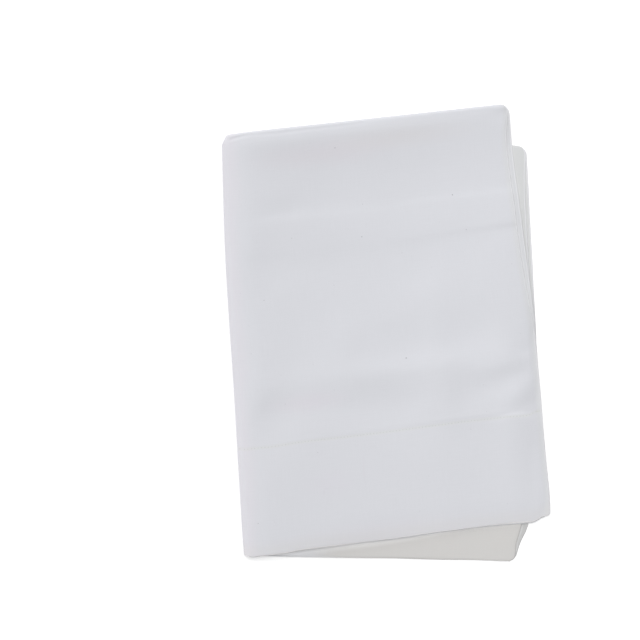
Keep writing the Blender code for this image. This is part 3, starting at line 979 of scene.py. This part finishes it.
def light_through(nodes, flat, place):
    """Where painted light, as if it came through the edge of a layer, falls on the layer below,
    over the shadow there.
    """
    across, along, _ = nodes.split(flat)
    x, y, _ = nodes.split(nodes.vector("SUBTRACT", place, PLAN_CORNER))
    past_fold = nodes.math("SUBTRACT", along, PANEL)
    parts = {"top": nodes.fade(across, -1, 1), "low": nodes.fade(across, 1, -1),
             "hem": nodes.fade(past_fold, 2, -2), "closed": nodes.fade(past_fold, -2, 2)}

    hem = edge_line(nodes, x, HEM_EDGE, HEM_COLUMNS.index("top"), *HEM_SPAN)
    below = nodes.math("SUBTRACT", hem, y)
    reach = nodes.fade(x, *HEM_LIGHT_REACH)
    strength = nodes.fade(x, *HEM_LIGHT_STRENGTH)
    soft = nodes.between(below, HEM_LIGHT_START * MM, reach, strength, 0.0)
    light = nodes.math("ADD", nodes.fade(below, *HEM_LIGHT_BRIGHT), soft)
    light = nodes.times(light, nodes.fade(below, -1, 0), parts["low"])
    for edge, stack, half, hem_height in LIT_SIDES:
        up = nodes.math("SUBTRACT", y, hem_height * MM)
        side = edge_line(nodes, up, SIDE_EDGES, SIDE_COLUMNS.index(edge), *SIDE_SPAN)
        beyond = nodes.math("SUBTRACT", x, side)
        strip = (nodes.fade(beyond, *limits) for limits in SIDE_STRIP)
        strip = nodes.times(*strip, parts[stack], parts[half])
        light = nodes.math("MAXIMUM", light, strip)
    return light


def tint_cloth(nodes, cloth, folded, flat, place):
    """The colour of the cotton before its weave: the lower stack in painted shade, the creases,
    faint tints, and painted light at the thin edges and below the hem's lip.
    """
    across, along, _ = nodes.split(flat)
    x, y, _ = nodes.split(place)
    low = nodes.fade(across, *BANDS["lower stack"])
    closed = nodes.fade(along, *BANDS["closed end"])
    # painted shade: the lower stack is painted darker and greener, darker and warmer by its closed
    # end below the hem's edge, and darker again by its opening
    lower = nodes.mix(closed, cloth.shaded_lower_colour, cloth.shaded_end_colour)
    lower = nodes.tint_band(lower, "painted shade by the lower opening", along)
    colour = nodes.mix(low, cloth.colour, lower)

    # pinker and a little lighter by the long fold, as painted pink light from the left, in a band
    # that comes and goes, and straw in the other bands
    shift = nodes.math("MULTIPLY_ADD", nodes.noise(place, 16.0, 1.0), 2.0 * LONG_FOLD_SHIFT,
                       -LONG_FOLD_SHIFT)
    inwards = nodes.math("ADD", nodes.math("SUBTRACT", x, CAD_BOX[0].x), shift)
    colour = nodes.tint_band(colour, "long fold", inwards)
    colour = nodes.tint_band(colour, "side seam", across)
    off_row = nodes.math("ABSOLUTE", nodes.math("SUBTRACT", along, HEM_DEPTH))
    colour = nodes.tint_band(colour, "stitches", off_row)
    colour = nodes.tint_band(colour, "top opening", along, nodes.math("SUBTRACT", 1.0, low))

    spots = spot_group()

    def spot(x, y, half_width, half_height, core, strength):
        inputs = {"Vector": flat, "Centre": (*folded.flat_place(x * MM, y * MM), 0.0),
                  "Size": (half_width * MM, half_height * MM, 1.0), "Core": core,
                  "Strength": strength}
        return nodes.add("Group", inputs, node_tree=spots).outputs["Mask"]

    for _, *size, by in TINTS:
        colour = nodes.tint(colour, spot(*size, 0.0, 1.0), by)
    flecks = 0.0
    for radius, darkness, places in FLECKS:
        for at in places:
            mask = spot(*at, radius, radius, FLECK_CORE, darkness)
            flecks = nodes.math("MAXIMUM", flecks, mask)
    colour = nodes.mix(flecks, colour, FLECK_COLOUR)
    # painted light below the hem's lip and beyond the side edges, over their shadows
    colour = nodes.mix(light_through(nodes, flat, place), colour, LIT_CLOTH)

    # painted light: thin cloth is painted to glow at its edges, as if light came through from the
    # other side
    edges = nodes.fade(nodes.math("ABSOLUTE", across), *BANDS["side edges"])
    for edge in ("hem edge", "end edge"):
        edges = nodes.math("MAXIMUM", edges, nodes.fade(along, *BANDS[edge]))
    ends = nodes.math("MAXIMUM", closed, nodes.fade(along, *BANDS["lower ends"]))
    edges = nodes.times(edges, nodes.math("SUBTRACT", 1.0, nodes.times(low, ends)))
    up = nodes.math("SUBTRACT", y, PLAN_CORNER.y)
    colour = nodes.mix(edges, colour, nodes.tint_band(cloth.lit_edge_colour, "painted light on fanned edges", up))
    # painted light on the hem's lip
    return nodes.mix(nodes.fade(along, *LIP_LIGHT), colour, LIT_LIP)


def new_material(name):
    """A material, its nodes and its shader."""
    material = bpy.data.materials.new(name)
    material.use_nodes = True
    tree = material.node_tree
    return material, Nodes(tree), tree.nodes["Principled BSDF"]


def cotton_material(cloth, folded):
    """White cotton: a plain weave with slubs, on faintly uneven colour with painted light and
    shade, and with painted shade in its needle holes.
    """
    material, nodes, shader = new_material("white_cotton_cloth")
    flat = nodes.add("UVMap", uv_map=FLAT_MAP).outputs["UV"]
    place = nodes.add("TexCoord").outputs["Object"]
    colour = tint_cloth(nodes, cloth, folded, flat, place)
    inputs = {"Vector": flat, "Pitch": cloth.thread_pitch}
    height, slub = nodes.add("Group", inputs, node_tree=weave_group()).outputs
    colour = nodes.shade(colour, nodes.between(slub, *SLUB_SHADE, "LINEAR"))
    inputs = {"Vector": flat, "Pitch": cloth.stitch_pitch}
    holes = nodes.add("Group", inputs, node_tree=needle_hole_group()).outputs["Mask"]
    # painted shade in the needle holes
    colour = nodes.tint(colour, holes, HOLE_SHADE)

    crumple = nodes.noise(place, 90.0, 3.0, 0.55)
    relief = nodes.math("MULTIPLY_ADD", crumple, 3.0, height)
    bump = nodes.add("Bump", {"Height": relief, "Strength": 0.45, "Distance": 0.03 * MM})
    nodes.fill(shader, {
        "Base Color": colour, "Normal": bump.outputs[0], "Roughness": 0.9,
        "Specular IOR Level": 0.25, "Sheen Weight": 0.06, "Sheen Roughness": 0.5})
    return material


def thread_material(cloth):
    """Twisted cotton thread, a shade greyer and greener than the cloth."""
    material, nodes, shader = new_material("cotton_thread")
    fibre = nodes.noise(nodes.add("TexCoord").outputs["Object"], 900.0, 2.0)
    colour = nodes.shade(cloth.thread_colour, nodes.between(fibre, 0.35, 0.65, 0.92, 1.06))
    bump = nodes.add("Bump", {"Height": fibre, "Strength": 0.6, "Distance": 0.05 * MM})
    nodes.fill(shader, {"Base Color": colour, "Normal": bump.outputs[0], "Roughness": 0.8})
    return material


def floor_material(stage):
    """Plain pale paper."""
    material, nodes, shader = new_material("pale_floor")
    nodes.fill(shader, {
        "Base Color": (*stage.floor_colour, 1.0), "Emission Color": (1.0, 1.0, 1.0, 1.0),
        "Emission Strength": stage.floor_glow, "Roughness": 1.0, "Specular IOR Level": 0.0})
    return material


# ---- operators

class FoldPillowcase(bpy.types.Operator):
    """Lay the thin cotton bag in its folds"""

    bl_idname = "object.fold_pillowcase"
    bl_label = "Folded cloth"

    def execute(self, context):
        cloth = context.scene.pillowcase_cloth
        folded = FoldedCase(cloth)
        bm = flat_bag(cloth)
        keep_flat_map(bm)
        for vert in bm.verts:
            vert.co = folded.place(*vert.co)
        case = finish_mesh(bm, "folded_cloth", cotton_material(cloth, folded))
        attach(case, "root")
        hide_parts(CASE_NODE)
        return {"FINISHED"}


class StitchHem(bpy.types.Operator):
    """Sew the row of stitches that holds the hem, on both faces of the bag"""

    bl_idname = "object.stitch_pillowcase_hem"
    bl_label = "Hem stitches"

    def execute(self, context):
        cloth = context.scene.pillowcase_cloth
        folded = FoldedCase(cloth)
        width, pitch = cloth.stitch_width, cloth.stitch_pitch
        offset = folded.half_bag - STITCH_SINK * width
        bm = bmesh.new()
        count = round(2.0 * (HALF_WIDTH - STITCH_MARGIN) / pitch)
        for side in (1.0, -1.0):
            for index in range(count):
                across = (index + 0.5 - count / 2) * pitch
                start, end = (folded.place(across + share * pitch, HEM_DEPTH, side * offset)
                              for share in (-STITCH_SHARE, STITCH_SHARE))
                run = end - start
                laid = Matrix.LocRotScale((start + end) / 2, run.to_track_quat("Z", "Y"),
                                          Vector((width, STITCH_FLAT * width, run.length)))
                bmesh.ops.create_uvsphere(
                    bm, u_segments=6, v_segments=5, radius=0.5, matrix=laid)
        stitches = finish_mesh(bm, "hem_stitches", thread_material(cloth))
        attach(stitches, "root")
        return {"FINISHED"}


class SetStage(bpy.types.Operator):
    """Put the case on a pale floor in soft light, and set the camera"""

    bl_idname = "scene.set_pillowcase_stage"
    bl_label = "Stage"

    def execute(self, context):
        stage = context.scene.pillowcase_stage
        self.lay_floor(stage)
        self.light_room(context.scene, stage)
        self.hang_softbox(stage)
        self.set_camera(context.scene, stage)
        context.scene.view_settings.view_transform = "Standard"
        return {"FINISHED"}

    def lay_floor(self, stage):
        bm = bmesh.new()
        bmesh.ops.create_grid(bm, x_segments=1, y_segments=1, size=stage.floor_size / 2)
        bmesh.ops.translate(bm, verts=bm.verts, vec=(0, 0, CAD_BOX[0].z))
        floor = finish_mesh(bm, "floor", floor_material(stage))

    def light_room(self, scene, stage):
        scene.world = bpy.data.worlds.new("soft_room")
        scene.world.use_nodes = True
        nodes = Nodes(scene.world.node_tree)
        towards = Vector((-0.55, 0.77, 0.30)).normalized()
        lean = nodes.vector("DOT_PRODUCT", nodes.add("TexCoord").outputs["Generated"], towards)
        side = nodes.math("MULTIPLY_ADD", lean, stage.lean, 1.0)
        nodes.fill(nodes.tree.nodes["Background"], {
            "Color": (1.0, 1.0, 1.0, 1.0), "Strength": nodes.times(side, side, stage.sky)})

    def hang_softbox(self, stage):
        light = bpy.data.lights.new("overhead", "AREA")
        light.shape = "SQUARE"
        light.size = 1.2
        light.energy = stage.overhead
        lamp = bpy.data.objects.new("overhead", light)
        lamp.location = (0.35, 0.1, 1.5)
        lamp.rotation_euler = (-lamp.location).to_track_quat("-Z", "Y").to_euler()
        bpy.context.scene.collection.objects.link(lamp)

    def set_camera(self, scene, stage):
        level = math.cos(CAMERA_ELEVATION)
        forward = Vector((math.sin(CAMERA_AZIMUTH) * level, math.cos(CAMERA_AZIMUTH) * level,
                          -math.sin(CAMERA_ELEVATION)))
        data = bpy.data.cameras.new("camera")
        data.sensor_width = 36.0
        data.lens = stage.lens
        data.clip_start, data.clip_end = 0.05, 50.0
        camera = bpy.data.objects.new("camera", data)
        camera.location = PLAN_CORNER + CAMERA_TARGET - stage.distance * forward
        camera.rotation_euler = forward.to_track_quat("-Z", "Y").to_euler()
        scene.collection.objects.link(camera)
        scene.camera = camera


class PillowcasePanel(bpy.types.Panel):
    """Sizes, colours and pieces of the pillowcase"""

    bl_idname = "VIEW3D_PT_folded_pillowcase"
    bl_label = "Folded pillowcase"
    bl_space_type = "VIEW_3D"
    bl_region_type = "UI"
    bl_category = "Pillowcase"

    def draw(self, context):
        for group in (context.scene.pillowcase_cloth, context.scene.pillowcase_stage):
            column = self.layout.column(align=True)
            for name in group.bl_rna.properties.keys():
                if name not in ("rna_type", "name"):
                    column.prop(group, name)
        for operator in OPERATORS:
            self.layout.operator(operator.bl_idname)


OPERATORS = (FoldPillowcase, StitchHem, SetStage)
CLASSES = (PillowcaseCloth, PillowcaseStage, *OPERATORS, PillowcasePanel)


def register():
    for each in CLASSES:
        bpy.utils.register_class(each)
    bpy.types.Scene.pillowcase_cloth = PointerProperty(type=PillowcaseCloth)
    bpy.types.Scene.pillowcase_stage = PointerProperty(type=PillowcaseStage)


def unregister():
    del bpy.types.Scene.pillowcase_stage
    del bpy.types.Scene.pillowcase_cloth
    for each in reversed(CLASSES):
        bpy.utils.unregister_class(each)


def main():
    register()
    bpy.ops.object.fold_pillowcase()
    bpy.ops.object.stitch_pillowcase_hem()
    bpy.ops.scene.set_pillowcase_stage()


if __name__ == "__main__":
    main()
